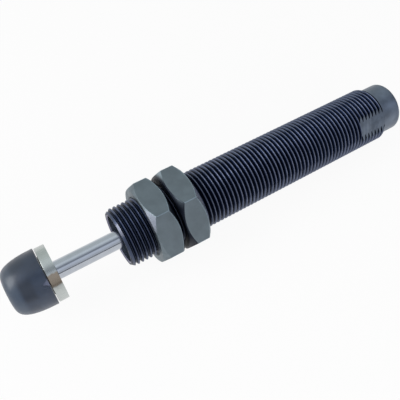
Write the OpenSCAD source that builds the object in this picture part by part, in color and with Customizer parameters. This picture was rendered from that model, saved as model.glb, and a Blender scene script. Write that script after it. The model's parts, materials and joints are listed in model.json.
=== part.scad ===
// Self-compensating industrial shock absorber with a threaded body.
// A cap on the piston rod takes the blow, the piston drives oil through the
// orifices of the pressure tube, and a spring pushes the rod out again.
// The axis lies along X. The origin is the centre of the rear end face, and
// +X points out through the rod to the impact cap.

/* [Body] */
// Length of the body from its rear face to its front rim
body_l = 111.5; // [106:0.5:130]
// Major diameter of the body thread
thread_d = 20; // [19.4:0.1:22]
// Pitch of the body thread, by which the lock nuts are spaced
thread_pitch = 1.5; // [1:0.25:2]
// Place of a thread crest, from which the others are counted in pitches
crest_place = 0.155; // [0:0.005:0.75]
// Diameter of the plain rear end
plain_d = 17.6; // [16.8:0.1:18.6]
// Length of the plain rear end
plain_l = 7.5; // [4:0.5:12]
// Radius of the rear end's outer edge
plain_edge = 0.9; // [0.3:0.1:2]
// Distance across the two spanner flats
flats_w = 17.5; // [16.6:0.1:18.6]
// Length of the spanner flats
flats_l = 12; // [6:0.5:20]
// Turn of the spanner flats about the axis
flats_turn = 61; // [0:1:90]
// Chamfer round the front rim
rim_chamfer = 0.4; // [0.2:0.1:0.8]
// Thickness of the rear wall
end_wall = 8; // [7:0.5:12]
// Bore of the oil space
bore_d = 15; // [14.4:0.1:15.6]
// Bore of the mouth that holds the head
mouth_d = 16.3; // [15.9:0.1:16.9]
// Depth from the rim to the retaining ring
mouth_depth = 3; // [2:0.25:5]

/* [Pressure tube] */
// Outside diameter of the pressure tube
tube_od = 13; // [12.4:0.1:13.8]
// Bore of the pressure tube, in which the piston runs
tube_bore = 11; // [10.6:0.1:11.6]
// Thickness of the pressure tube's closed rear end
tube_foot = 2.5; // [1.5:0.25:4]
// Depth of the recess that centres the pressure tube
tube_seat_l = 2; // [1:0.25:4]
// Number of metering orifices
orifice_n = 5; // [3:1:7]
// Diameter of each metering orifice
orifice_d = 0.9; // [0.5:0.1:1.4]

/* [Head] */
// Thickness of the retaining ring
ring_t = 1; // [0.8:0.1:1.4]
// Depth of the retaining ring's groove
ring_groove = 0.5; // [0.4:0.1:0.7]
// Opening between the retaining ring's ends
ring_gap = 5; // [3:0.5:8]
// Step of the retaining ring into the mouth
ring_step = 1.2; // [0.8:0.1:1.6]
// Length of the front collar
collar_l = 4.5; // [3.5:0.25:7]
// Length of the seal holder
holder_l = 6; // [5:0.25:8]
// Length of the space for the accumulator foam
foam_l = 21; // [14:0.5:26]
// Thickness of the head that closes the pressure tube
head_t = 3; // [2:0.25:5]
// Length of the head's spigot inside the pressure tube
spigot_l = 2; // [1:0.25:4]
// Number of oil notches round the head
notch_n = 4; // [3:1:6]
// Radius of each oil notch
notch_r = 0.9; // [0.6:0.1:1.2]
// Outside diameter of the rod bearing
bearing_od = 9; // [8.2:0.1:9.8]
// Length of the rod bearing inside the seal holder
bearing_in = 3; // [2:0.25:3.5]
// Outside diameter of the rod seal and the scraper
seal_od = 11; // [10.4:0.1:12]
// Length of the scraper
scraper_l = 2.2; // [1.5:0.1:3]
// Thickness of the O-ring round the seal holder
o_ring_t = 1; // [0.8:0.1:1.2]
// Width of the O-ring's groove
o_groove_w = 1.3; // [1.2:0.1:1.6]

/* [Rod and piston] */
// Diameter of the piston rod
rod_d = 6; // [5.4:0.1:6.6]
// Travel of the piston rod
stroke = 20; // [10:0.5:24]
// Space left between the button and the rim at full travel
rod_margin = 1; // [0.5:0.25:3]
// Diameter of the rod's tail, on which the piston sits
tail_d = 4; // [3.4:0.1:4.6]
// Length of the piston
piston_l = 7; // [6:0.25:10]
// Width of the piston's check ring
check_w = 2; // [1.5:0.1:2.5]
// Axial float of the check ring in its groove
check_float = 0.5; // [0.3:0.1:0.8]
// Depth of the check ring's groove
groove_depth = 1.3; // [1:0.1:1.4]
// Width of the piston's land in front of the groove
piston_land = 2; // [1:0.25:2.25]
// Thickness of the spring guide's flange
guide_t = 1.5; // [1:0.25:3]
// Length of the spring guide's spigot
guide_l = 4; // [2:0.25:6]

/* [Return spring] */
// Wire diameter of the return spring
wire_d = 1; // [0.7:0.05:1.2]
// Mean diameter of the return spring
coil_d = 8.7; // [8.3:0.1:9.1]
// Turns of the return spring, with its two closed ends
coil_n = 12; // [8:1:14]

/* [Button and cap] */
// Radial step from the cap's rear edge down to the button's flange
flange_step = 0.3; // [0.1:0.1:1.1]
// Thickness of the button's flange
flange_t = 3.2; // [2.5:0.1:5]
// Chamfer of the flange's edges
flange_edge = 0.2; // [0.1:0.05:0.5]
// Narrow gap between the flange and the cap
cap_gap = 0.3; // [0.2:0.05:0.6]
// Length of the impact cap
cap_l = 12; // [10:0.25:16]
// Diameter of the impact cap at its rear edge
cap_d = 18.6; // [17:0.1:21]
// Chamfer of the cap's rear edge
cap_edge = 0.25; // [0.1:0.05:0.4]
// Narrowing of the cap over its straight rear part
cap_draft = 0.1; // [0.1:0.1:1.2]
// Length of the cap's rounded front
cap_round = 10.4; // [6:0.1:11]
// Diameter of the button's boss inside the cap
boss_d = 13.8; // [12.6:0.1:15]
// Length of the button's boss
boss_l = 4.5; // [3:0.25:5.5]
// Chamfer of the boss's front edge
boss_edge = 0.4; // [0.2:0.1:0.8]
// Depth of the groove behind the boss
boss_groove = 0.6; // [0.3:0.1:1]
// Length of the groove behind the boss
groove_l = 1.7; // [1:0.1:2.5]
// Length of the rod's end inside the button
rod_end_l = 5; // [3:0.25:6]
// Diameter of the rod's end inside the button
rod_end_d = 4.9; // [4:0.1:5.2]
// Width of the mould nick in the cap's rear edge
nick_w = 3.4; // [2:0.1:5]
// Length of the mould nick
nick_l = 2.3; // [1:0.1:3]
// Depth of the mould nick
nick_depth = 0.45; // [0.2:0.05:0.8]
// Turn of the mould nick about the axis
nick_turn = 47; // [0:1:90]

/* [Lock nuts] */
// Distance across the flats of a lock nut
nut_w = 26; // [24.5:0.5:30]
// Thickness of a lock nut
nut_t = 8; // [5:0.25:10]
// Distance from the front rim to the front lock nut
nut_setback = 9.1; // [5:0.1:15]
// Space between the lock nuts, in thread pitches
nut_space = 1; // [1:1:6]
// Rim of a nut's face inside its chamfer, as a radial step in from the flats
nut_face_step = 0.6; // [0.3:0.05:1]
// Countersink of a nut's bore
nut_lead = 0.5; // [0.3:0.1:0.9]

/* [Oil filling] */
// Diameter of the fill screw
fill_d = 5; // [4:0.5:5.5]
// Diameter of the sealing ball
ball_d = 3.4; // [2.8:0.1:3.6]
// Depth of the fill screw's head below the rear face
fill_recess = 0.3; // [0.1:0.1:0.6]
// Distance across the fill screw's hexagon socket
socket_w = 2.5; // [2:0.1:2.8]
// Diameter of the oil hole behind the ball
oil_hole_d = 1.6; // [1.2:0.1:2]
// Length of the oil hole
oil_hole_l = 1; // [0.75:0.25:1.5]

/* [Clearances] */
// Clearance of parts that sit in each other
seat_fit = 0.05; // [0.03:0.01:0.08]
// Radial clearance of what slides or turns
run_fit = 0.05; // [0.03:0.01:0.08]
// Free space round what must not touch
free_gap = 0.3; // [0.25:0.05:0.4]

/* [Hidden] */
$fn = 96;

// ISO metric thread, in pitches: depth of its groove and width of its crest
iso_depth = 0.6134;
iso_crest = 0.125;

// Radii
thread_r = thread_d / 2;
root_r = thread_r - iso_depth * thread_pitch;
plain_r = plain_d / 2;
bore_r = bore_d / 2;
mouth_r = mouth_d / 2;
tube_r = tube_bore / 2;
rod_r = rod_d / 2;
tail_r = tail_d / 2;
seal_r = seal_od / 2;
bearing_r = bearing_od / 2;
flange_r = cap_d / 2 - flange_step;
boss_r = boss_d / 2;

// Places along the axis, from the rim inwards
ring_x = body_l - mouth_depth - ring_t;
collar_x = ring_x - collar_l;
holder_x = collar_x - holder_l;
head_front_x = holder_x - foam_l;
head_x = head_front_x - head_t;
spring_x = end_wall + tube_foot;
piston_front_x = head_x - spigot_l - free_gap;
piston_x = piston_front_x - piston_l;
guide_x = piston_x - guide_t;
tail_x = guide_x - guide_l;

// Places along the axis, from the rim outwards, with the rod extended
button_x = body_l + rod_margin + stroke;
flange_front_x = button_x + flange_t;
cap_x = flange_front_x + cap_gap;
boss_x = flange_front_x + groove_l;
boss_front_x = boss_x + boss_l;

// Grooves of the thread, between the plain end's cone and the rim's chamfer
valley_w = (1 - iso_crest) * thread_pitch;
root_w = valley_w - 2 * iso_depth * thread_pitch * tan(30);
thread_start = plain_l + thread_r - plain_r;
thread_end = body_l - rim_chamfer;
valley_x = crest_place + thread_pitch / 2
    + thread_pitch * ceil((thread_start + valley_w / 2 - crest_place) / thread_pitch - 0.5);
valley_n = 1 + floor((thread_end - valley_w / 2 - valley_x) / thread_pitch);

// Places of the lock nuts
front_nut_x = body_l - nut_setback - nut_t;
rear_nut_x = front_nut_x - nut_space * thread_pitch - nut_t;

// Fill screw and ball: the ball rests on a 45 degree seat
fill_bore_r = fill_d / 2 + seat_fit;
ball_r = ball_d / 2;
oil_hole_r = oil_hole_d / 2;
seat_cone = fill_bore_r - oil_hole_r;
cone_end_x = end_wall - oil_hole_l;
cone_x = cone_end_x - seat_cone;
ball_x = cone_x + fill_bore_r - (ball_r + seat_fit) * sqrt(2);
fill_l = ball_x - ball_r - seat_fit - fill_recess;

// Piston: the check ring lies at the rear wall of its groove
piston_r = tube_r - free_gap;
hub_r = piston_r - groove_depth;
check_r = tube_r - run_fit;
groove_w = check_w + check_float + 2 * seat_fit;
groove_x = piston_front_x - piston_land - groove_w;
guide_r = (coil_d - wire_d) / 2 - free_gap;

// Exponents of the cap's outline: how soon its side curves in, and how square its front is
side_curve = 1.86;
front_curve = 0.165;

nut_chamfer_angle = 30;
socket_share = 0.6;
far = 60;

// A solid turned about the X axis from an outline of [radius, x] points
module turned() {
    rotate([0, 90, 0]) rotate_extrude() children();
}

// A turned ring from x over length l, between two radii
module ring(x, l, r_in, r_out) {
    turned() translate([r_in, x]) square([r_out - r_in, l]);
}

// A round bar along X
module bar(x, l, r) {
    translate([x, 0, 0]) rotate([0, 90, 0]) cylinder(h = l, r = r);
}

// Copies turned about the X axis
module around(n, start = 0) {
    for (i = [0:n - 1]) rotate([start + i * 360 / n, 0, 0]) children();
}

// Points of an arc about [cx, cy], from angle a to angle b
function arc(cx, cy, r, a, b, steps = 8) =
    [for (i = [0:steps]) let(t = a + (b - a) * i / steps) [cx + r * cos(t), cy + r * sin(t)]];

// Points of one thread groove round the body, whose middle is at x
function thread_valley(x) = [
    [thread_r, x - valley_w / 2], [root_r, x - root_w / 2],
    [root_r, x + root_w / 2], [thread_r, x + valley_w / 2]];

// Threaded body: plain rear end, shank with a ring groove for each turn of its thread, chamfered rim
module outer_tube() {
    color([0.20, 0.22, 0.27]) difference() {
        turned() polygon(concat(
            [[0, 0]],
            arc(plain_r - plain_edge, plain_edge, plain_edge, -90, 0),
            [[plain_r, plain_l], [thread_r, thread_start]],
            [for (i = [0:valley_n - 1]) each thread_valley(valley_x + i * thread_pitch)],
            [[thread_r, thread_end], [thread_r - rim_chamfer, body_l], [0, body_l]]));
        oil_space();
        fill_hole();
        around(2, -flats_turn) translate([plain_l, -far / 2, flats_w / 2]) cube([flats_l, far, far]);
    }
}

// Inside of the body: tube recess, reservoir bore, mouth with its groove
module oil_space() {
    recess_r = tube_od / 2 + seat_fit;
    lead = rim_chamfer / 2;
    turned() polygon([
        [0, end_wall], [recess_r, end_wall], [recess_r, end_wall + tube_seat_l],
        [bore_r, end_wall + tube_seat_l], [bore_r, holder_x], [mouth_r, holder_x],
        [mouth_r, ring_x], [mouth_r + ring_groove, ring_x],
        [mouth_r + ring_groove, ring_x + ring_t + seat_fit], [mouth_r, ring_x + ring_t + seat_fit],
        [mouth_r, body_l - lead], [mouth_r + 2 * lead, body_l + lead], [0, body_l + lead]]);
}

// Stepped hole for the fill screw, its ball and the oil
module fill_hole() {
    turned() polygon([
        [0, -1], [fill_bore_r, -1], [fill_bore_r, cone_x], [oil_hole_r, cone_end_x],
        [oil_hole_r, end_wall + 1], [0, end_wall + 1]]);
}

module fill_ball() {
    color([0.75, 0.76, 0.78]) translate([ball_x, 0, 0]) sphere(r = ball_r);
}

// Set screw with a hexagon socket
module fill_screw() {
    socket_r = socket_w / 2 / cos(30);
    color([0.30, 0.31, 0.33]) difference() {
        bar(fill_recess, fill_l, fill_d / 2);
        translate([fill_recess - 1, 0, 0]) rotate([0, 90, 0])
            cylinder(h = fill_l * socket_share + 1, r = socket_r, $fn = 6);
    }
}

// Inner cylinder, closed at the rear, with metering orifices along the stroke
module pressure_tube() {
    ring_front_x = groove_x + seat_fit + check_w;
    color([0.62, 0.64, 0.66]) difference() {
        ring(end_wall, head_x - end_wall, 0, tube_od / 2);
        bar(spring_x, head_x - spring_x + 1, tube_r);
        for (i = [1:orifice_n])
            translate([ring_front_x - stroke * (1 - pow(1 - i / orifice_n, 2)) - orifice_d, 0, tube_r - 1])
                cylinder(h = tube_od / 2 - tube_r + 2, r = orifice_d / 2, $fn = 24);
    }
}

// Closes the pressure tube and stops the piston; notches round its rim pass the oil
module tube_head() {
    disc_r = bore_r - seat_fit;
    color([0.55, 0.56, 0.58]) difference() {
        union() {
            ring(head_x, head_t, 0, disc_r);
            ring(head_x - spigot_l, spigot_l, 0, tube_r - seat_fit);
        }
        bar(head_x - spigot_l - 1, head_t + spigot_l + 2, rod_r + free_gap);
        around(notch_n, 45) translate([0, 0, disc_r]) bar(head_x - 1, head_t + 2, notch_r);
    }
}

// Closed-cell foam that gives way to the oil which the rod displaces
module accumulator_foam() {
    color([0.24, 0.24, 0.26])
        ring(head_front_x + free_gap, foam_l - 2 * free_gap, bearing_r + seat_fit, bore_r - free_gap);
}

// Plain bearing of the rod, pressed into the seal holder
module rod_bearing() {
    color([0.72, 0.55, 0.30])
        ring(head_front_x, foam_l + bearing_in, rod_r + run_fit, bearing_r);
}

// Carries the bearing and the rod seal, with an O-ring in its rim
module seal_holder() {
    holder_r = mouth_r - seat_fit;
    o_x = holder_x + holder_l / 2;
    color([0.66, 0.67, 0.69]) turned() polygon([
        [bearing_r + seat_fit, holder_x], [holder_r, holder_x],
        [holder_r, o_x - o_groove_w / 2], [holder_r - o_ring_t, o_x - o_groove_w / 2],
        [holder_r - o_ring_t, o_x + o_groove_w / 2], [holder_r, o_x + o_groove_w / 2],
        [holder_r, collar_x], [seal_r + seat_fit, collar_x],
        [seal_r + seat_fit, holder_x + bearing_in], [bearing_r + seat_fit, holder_x + bearing_in]]);
}

module holder_o_ring() {
    o_r = mouth_r - o_ring_t / 2 - seat_fit / 2;
    color([0.10, 0.10, 0.11]) turned() translate([o_r, holder_x + holder_l / 2])
        circle(r = o_ring_t / 2 - seat_fit / 2, $fn = 32);
}

// U-shaped seal, open to the oil
module rod_seal() {
    x = holder_x + bearing_in + seat_fit;
    l = holder_l - bearing_in - 2 * seat_fit;
    r_in = rod_r + run_fit;
    lip = (seal_r - r_in) / 4;
    mid = (seal_r + r_in) / 2;
    color([0.20, 0.35, 0.30]) turned() polygon([
        [r_in, x], [r_in + lip, x], [mid - lip / 4, x + l / 2], [mid + lip / 4, x + l / 2],
        [seal_r - lip, x], [seal_r, x], [seal_r, x + l], [r_in, x + l]]);
}

// Steel collar that closes the mouth, with a pocket for the scraper
module front_collar() {
    color([0.28, 0.29, 0.32]) difference() {
        ring(collar_x, collar_l, rod_r + free_gap, mouth_r - seat_fit);
        bar(ring_x - scraper_l, scraper_l + 1, seal_r + seat_fit);
    }
}

// Scraper with a thin lip on the rod
module rod_scraper() {
    x = ring_x - scraper_l;
    r_in = rod_r + run_fit;
    color([0.13, 0.13, 0.14]) turned() polygon([
        [r_in + free_gap, x], [seal_r, x], [seal_r, ring_x - seat_fit],
        [(seal_r + r_in) / 2, ring_x - seat_fit], [r_in + free_gap, ring_x - scraper_l / 3],
        [r_in + free_gap / 3, ring_x - seat_fit], [r_in, ring_x - seat_fit],
        [r_in, ring_x - scraper_l / 2]]);
}

// Open spring ring in the groove of the mouth
module retaining_ring() {
    ring_out = mouth_r + ring_groove - seat_fit;
    color([0.22, 0.23, 0.25]) difference() {
        ring(ring_x, ring_t, mouth_r - ring_step, ring_out);
        translate([ring_x - 1, -ring_gap / 2, -far]) cube([ring_t + 2, ring_gap, far]);
    }
}

// Centre of the wire above the spring's rear face after t turns
function wire_rise(t, l) =
    let(shut = wire_d, pitch = (l - wire_d - 2 * shut) / (coil_n - 2))
    t < 1 ? wire_d / 2 + shut * t
    : t > coil_n - 1 ? l - wire_d / 2 - shut * (coil_n - t)
    : wire_d / 2 + shut + pitch * (t - 1);

// Helical compression spring with closed ends
module return_spring() {
    steps = 18;
    sides = 8;
    end_gap = seat_fit;
    l = guide_x - spring_x - 2 * end_gap;
    rings = steps * coil_n;
    points = [for (i = [0:rings]) let(a = 360 * i / steps, x = spring_x + end_gap + wire_rise(i / steps, l))
        for (j = [0:sides - 1]) let(b = 360 * j / sides, r = coil_d / 2 + wire_d / 2 * cos(b))
            [x + wire_d / 2 * sin(b), r * cos(a), r * sin(a)]];
    side_faces = [for (i = [0:rings - 1], j = [0:sides - 1]) let(k = (j + 1) % sides)
        each [[i * sides + j, (i + 1) * sides + k, i * sides + k],
              [i * sides + j, (i + 1) * sides + j, (i + 1) * sides + k]]];
    start_face = [for (j = [0:sides - 1]) j];
    end_face = [for (j = [0:sides - 1]) rings * sides + sides - 1 - j];
    color([0.58, 0.60, 0.62]) polyhedron(points, concat(side_faces, [start_face, end_face]));
}

// Loose guide between the piston and the spring, free to turn on the rod's tail
module spring_guide() {
    color([0.68, 0.69, 0.70]) difference() {
        union() {
            ring(guide_x, guide_t, 0, piston_r);
            ring(tail_x, guide_l, 0, guide_r);
        }
        bar(tail_x - 1, guide_l + guide_t + 2, tail_r + run_fit);
    }
}

// Piston on the rod's tail, with the groove for its check ring
module piston_head() {
    color([0.60, 0.58, 0.52]) difference() {
        ring(piston_x, piston_l, tail_r + seat_fit, piston_r);
        ring(groove_x, groove_w, hub_r, piston_r + 1);
    }
}

// Floats between the walls of its groove: shut on the blow, open on the return
module piston_ring() {
    color([0.80, 0.68, 0.40]) ring(groove_x + seat_fit, check_w, hub_r + free_gap, check_r);
}

module piston_rod() {
    color([0.78, 0.80, 0.82]) {
        bar(tail_x + free_gap, piston_front_x - tail_x - free_gap, tail_r);
        bar(piston_front_x, button_x - piston_front_x, rod_r);
        bar(button_x, rod_end_l, rod_end_d / 2);
    }
}

// Steel button: flange, snap groove and boss for the cap
module impact_button() {
    color([0.68, 0.68, 0.65]) difference() {
        turned() polygon([
            [0, button_x], [flange_r - flange_edge, button_x], [flange_r, button_x + flange_edge],
            [flange_r, flange_front_x - flange_edge], [flange_r - flange_edge, flange_front_x],
            [boss_r - boss_groove, flange_front_x], [boss_r - boss_groove, boss_x],
            [boss_r, boss_x], [boss_r, boss_front_x - boss_edge],
            [boss_r - boss_edge, boss_front_x], [0, boss_front_x]]);
        bar(button_x - 1, rod_end_l + 1 + seat_fit, rod_end_d / 2 + seat_fit);
    }
}

// Outline of the cap's rounded front: a squared-off oval from its shoulder to its tip
function cap_front(r, x, l, steps = 16) =
    [for (i = [0:steps]) let(t = sin(90 * i / steps))
        [r * pow(1 - pow(t, side_curve), front_curve), x + l * t]];

// Moulded urethane cap, snapped over the button's boss
module impact_cap() {
    shoulder_x = cap_x + cap_l - cap_round;
    shoulder_r = cap_d / 2 - cap_draft / 2;
    color([0.24, 0.27, 0.33]) difference() {
        turned() polygon(concat(
            [[0, cap_x], [cap_d / 2 - cap_edge, cap_x], [cap_d / 2, cap_x + cap_edge]],
            cap_front(shoulder_r, shoulder_x, cap_round)));
        turned() polygon([
            [0, cap_x - 1], [boss_r - boss_groove + seat_fit, cap_x - 1],
            [boss_r - boss_groove + seat_fit, boss_x - seat_fit],
            [boss_r + seat_fit, boss_x - seat_fit], [boss_r + seat_fit, boss_front_x],
            [0, boss_front_x]]);
        cap_nick();
    }
}

// Shallow wedge left by the mould in the cap's rear edge
module cap_nick() {
    rotate([-nick_turn, 0, 0]) translate([cap_x, 0, cap_d / 2 - nick_depth]) linear_extrude(far)
        polygon([[-1, -nick_w / 2], [0, -nick_w / 2], [nick_l, 0], [0, nick_w / 2], [-1, nick_w / 2]]);
}

// Hexagon nut, chamfered on both faces, at x
module lock_nut(x) {
    corner_r = nut_w / 2 / cos(30);
    face_r = nut_w / 2 - nut_face_step;
    rise = (corner_r + 1 - face_r) * tan(nut_chamfer_angle);
    hole_r = thread_r + run_fit;
    difference() {
        intersection() {
            translate([x, 0, 0]) rotate([0, 90, 0]) rotate([0, 0, 30])
                cylinder(h = nut_t, r = corner_r, $fn = 6);
            turned() polygon([
                [0, x], [face_r, x], [corner_r + 1, x + rise],
                [corner_r + 1, x + nut_t - rise], [face_r, x + nut_t], [0, x + nut_t]]);
        }
        turned() polygon([
            [0, x - 1], [hole_r + nut_lead + 1, x - 1], [hole_r, x + nut_lead],
            [hole_r, x + nut_t - nut_lead], [hole_r + nut_lead + 1, x + nut_t + 1], [0, x + nut_t + 1]]);
    }
}

module rear_nut() {
    color([0.38, 0.41, 0.44]) lock_nut(rear_nut_x);
}

module front_nut() {
    color([0.38, 0.41, 0.44]) lock_nut(front_nut_x);
}

outer_tube();
pressure_tube();
tube_head();
return_spring();
accumulator_foam();
rod_bearing();
seal_holder();
holder_o_ring();
rod_seal();
front_collar();
rod_scraper();
retaining_ring();
fill_ball();
fill_screw();
spring_guide();
piston_head();
piston_ring();
piston_rod();
impact_button();
impact_cap();
rear_nut();
front_nut();
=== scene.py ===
"""Models and finishes an industrial shock absorber around its packed frame.

The threaded body, its lock nuts, the rod with its button and cap, and the parts
in the mouth and inside are each built by an operator of their own."""

import json
import math

import bmesh
import bpy
from bpy.props import FloatProperty, FloatVectorProperty, IntProperty, PointerProperty
from bpy.types import Operator, Panel, PropertyGroup
from mathutils import Matrix, Quaternion, Vector


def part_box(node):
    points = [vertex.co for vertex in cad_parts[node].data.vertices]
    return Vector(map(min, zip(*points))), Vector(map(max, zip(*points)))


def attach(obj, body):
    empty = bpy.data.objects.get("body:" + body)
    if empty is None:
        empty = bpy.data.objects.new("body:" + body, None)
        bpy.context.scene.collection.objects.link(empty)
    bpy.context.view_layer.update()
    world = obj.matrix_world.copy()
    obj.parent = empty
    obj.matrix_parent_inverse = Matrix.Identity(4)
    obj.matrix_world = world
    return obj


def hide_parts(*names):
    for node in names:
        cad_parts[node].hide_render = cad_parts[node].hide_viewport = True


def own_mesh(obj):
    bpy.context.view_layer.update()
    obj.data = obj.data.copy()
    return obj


bl_info = {
    "name": "Industrial shock absorber",
    "version": (1, 0, 0),
    "blender": (4, 5, 0),
    "location": "3D View > Sidebar > Shock absorber",
    "description": "Models and finishes the pieces of a shock absorber with a threaded body",
    "category": "Object",
}

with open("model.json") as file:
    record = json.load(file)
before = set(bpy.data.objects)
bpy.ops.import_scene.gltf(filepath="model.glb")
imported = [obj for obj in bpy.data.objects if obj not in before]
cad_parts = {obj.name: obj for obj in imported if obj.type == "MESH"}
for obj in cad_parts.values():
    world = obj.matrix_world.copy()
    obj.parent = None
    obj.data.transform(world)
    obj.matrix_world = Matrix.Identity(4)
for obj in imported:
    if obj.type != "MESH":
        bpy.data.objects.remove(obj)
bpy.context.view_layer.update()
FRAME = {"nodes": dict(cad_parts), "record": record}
MM = 0.001
FULL_TURN = 2 * math.pi
# Gap between a piece and what it sits in
FIT = 0.05 * MM
# Points closer than this are one point
WELD = 0.001 * MM
# Edges shorter than this are dissolved
SLIVER = 0.0002 * MM
# Steps round a turned piece that shows
FINE = 144
# An end face's normal has at least this much of X
FACING = 0.3


# Sizes taken from the frame


def span(node):
    """Start, end and outer radius of a round CAD node, whose axis is X."""
    low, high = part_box(node)
    return low.x, high.x, max(-low.z, high.z)


def find(rows, name):
    """The row of the frame that has a name."""
    return next(row for row in rows if row["name"] == name)


# Sizes and colours that can be changed


def length(name, description, millimetres):
    """A length in metres, with its default in millimetres."""
    values = {"default": millimetres * MM, "min": 0, "unit": "LENGTH", "precision": 6}
    return FloatProperty(name=name, description=description, **values)


def number(name, description, default, low=0, high=1000):
    """A number between two limits."""
    return FloatProperty(name=name, description=description, default=default, min=low, max=high)


def angle(name, description, degrees):
    """An angle in radians, with its default in degrees."""
    values = {"default": math.radians(degrees), "subtype": "ANGLE"}
    return FloatProperty(name=name, description=description, **values)


def colour(name, description, *default):
    """A linear colour."""
    values = {"default": default, "subtype": "COLOR", "min": 0, "max": 1}
    return FloatVectorProperty(name=name, description=description, **values)


class ThreadSizes(PropertyGroup):
    """The metric thread of the body and of its nuts."""

    major_radius: length("Crest radius", "Radius over the crests", span("outer_tube")[2] / MM)
    pitch: length("Pitch", "Distance from crest to crest", 1.5)
    depth: number("Depth", "Depth of the groove in pitches", 0.613, 0.3, 0.8)
    root_round: number("Root rounding", "Groove bottom's radius in pitches", 0.144, 0.05, 0.2)
    crest_edge: number("Crest edge", "Break of the crest's edges in pitches", 0.022, 0.005, 0.05)
    crest_place: length(
        "Crest place", "Distance from the rear face to the first crest above the axis", 0.155
    )
    clearance: length("Clearance", "Radial clearance of the nuts' thread", 0.05)
    steps: IntProperty(
        name="Steps", description="Steps in one turn of the thread", default=72, min=24, max=128
    )


class BodySizes(PropertyGroup):
    """The body round its thread."""

    plain_radius: length(
        "Plain radius",
        "Radius of the plain rear end",
        find(FRAME["record"]["mounts"], "plain_end")["dims"]["r_mm"],
    )
    plain_length: length("Plain length", "Length of the plain rear end", 7.5)
    plain_edge: length("Rear edge", "Rounding of the rear end's edge", 0.9)
    flats_width: length("Flats", "Distance across the spanner flats", 17.5)
    flats_length: length("Flats' length", "Length of the spanner flats", 12)
    flats_turn: angle("Flats' turn", "Turn of the spanner flats about the axis", 61)
    rim_chamfer: length("Rim chamfer", "Radial depth of the front rim's chamfer", 0.9)
    rim_length: length("Rim length", "Length of the front rim's chamfer", 1.25)
    seat_depth: length("Tube seat", "Depth of the recess that centres the pressure tube", 2)
    oil_hole_radius: length("Oil hole", "Radius of the hole behind the ball", 0.8)
    oil_hole_length: length("Oil hole length", "Length of the hole behind the ball", 1)


class NutSizes(PropertyGroup):
    """The two lock nuts."""

    face_step: length("Face step", "Step in from the flats to the face's rim", 0.35)
    chamfer_angle: angle("Chamfer", "Slope of the chamfers on both faces", 38)
    countersink: length("Countersink", "Rim of the bore outside the thread", 0.5)
    corner_edge: length("Corner edge", "Break of the six corners", 0.4)
    chamfer_edge: length("Chamfer edge", "Break between the chamfers and the flats", 0.18)


class RodSizes(PropertyGroup):
    """The rod and its button."""

    tail_radius: length("Tail radius", "Radius of the rod under the piston", 2)
    end_radius: length("End radius", "Radius of the rod inside the button", 2.45)
    flange_thickness: length("Flange", "Thickness of the button's flange", 3.2)
    flange_edge: length("Flange edge", "Break of the flange's edges", 0.2)
    boss_radius: length("Boss radius", "Radius of the boss inside the cap", 6.9)
    boss_length: length("Boss length", "Length of the boss", 4.5)
    boss_groove: length("Boss groove", "Depth of the groove behind the boss", 0.6)


class CapSizes(PropertyGroup):
    """The impact cap."""

    round_length: length("Rounded front", "Length of the cap's rounded front", 10.4)
    draft: length("Draft", "Narrowing of the radius over the straight part", 0.05)
    rear_edge: length("Rear edge", "Rounding of the rear edge", 0.25)
    nick_width: length("Nick width", "Width of the mould nick", 2.9)
    nick_length: length("Nick length", "Length of the mould nick", 1.9)
    nick_depth: length("Nick depth", "Depth of the mould nick", 0.45)
    nick_turn: angle("Nick turn", "Turn of the mould nick about the axis", 47)


class SpringSizes(PropertyGroup):
    """The return spring."""

    wire: length("Wire", "Diameter of the wire", 1)
    turns: IntProperty(name="Turns", description="Turns with both closed ends", default=12, min=6)


class FinishColours(PropertyGroup):
    """Colours of the finishes."""

    # Rubbed oxide with a painted highlight on the thread's crests
    crest: colour("Thread crest", "Rubbed black oxide with a painted highlight on the crests", 0.168, 0.19, 0.268)
    # Painted shade deep in the thread's grooves
    valley: colour("Thread valley", "Painted shade deep in the grooves", 0.004, 0.007, 0.018)
    flank: colour("Thread flank", "Black oxide on the flanks", 0.044, 0.055, 0.088)
    plain: colour("Plain steel end", "Black oxide on turned faces", 0.15, 0.18, 0.23)
    # Painted highlight ring on the lead into the body's mouth
    rim: colour("Rim", "Painted highlight ring on the lead into the mouth", 0.2, 0.2, 0.28)
    nut: colour("Nuts", "Satin oxide on the nuts", 0.152, 0.187, 0.212)
    rod: colour("Rod", "Hard chrome", 0.46, 0.49, 0.54)
    button: colour("Button", "Satin nickel", 0.48, 0.51, 0.5)
    # Painted reflection of something brown on the button's rim
    brown_reflection: colour("Painted reflection", "Painted brown reflection on one side of the button's rim", 0.33, 0.275, 0.215)
    cap: colour("Cap", "Moulded urethane", 0.018, 0.031, 0.06)
    # Painted sheen on the cap's rounded front
    cap_sheen: colour("Cap's front", "Painted sheen on the rounded front", 0.04, 0.06, 0.095)
    inner_steel: colour("Inner steel", "Ground and sintered steel inside", 0.5, 0.51, 0.53)
    bronze: colour("Bronze", "Bearing and check ring", 0.66, 0.48, 0.26)
    rubber: colour("Rubber", "Seals", 0.03, 0.03, 0.034)
    foam: colour("Foam", "Closed-cell foam", 0.16, 0.16, 0.18)


class StageSettings(PropertyGroup):
    """Camera, light and floor."""

    azimuth: angle("Azimuth", "Camera's turn about Z, from the -Y side", 150.1)
    elevation: angle("Elevation", "Camera's height above the horizon", 53.37)
    roll: angle("Roll", "Camera's turn about its own axis", -2.03)
    distance: length("Distance", "From the camera to the point it aims at", 176.3)
    aim: FloatVectorProperty(
        name="Aim",
        description="Point at the picture's centre",
        default=(0.0816, 0.00073, 0.00005),
        unit="LENGTH",
    )
    lens: number("Lens", "Focal length in millimetres", 47.7)
    key_power: number("Key", "Power of the key lamp in watts", 0.85)
    side_power: number("Side", "Power of the side lamp in watts", 1.4)
    fill_light: number("Fill", "Strength of the world's light", 0.4)


def settings():
    """The scene, which holds the property groups."""
    return bpy.context.scene


# Modelling


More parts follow.
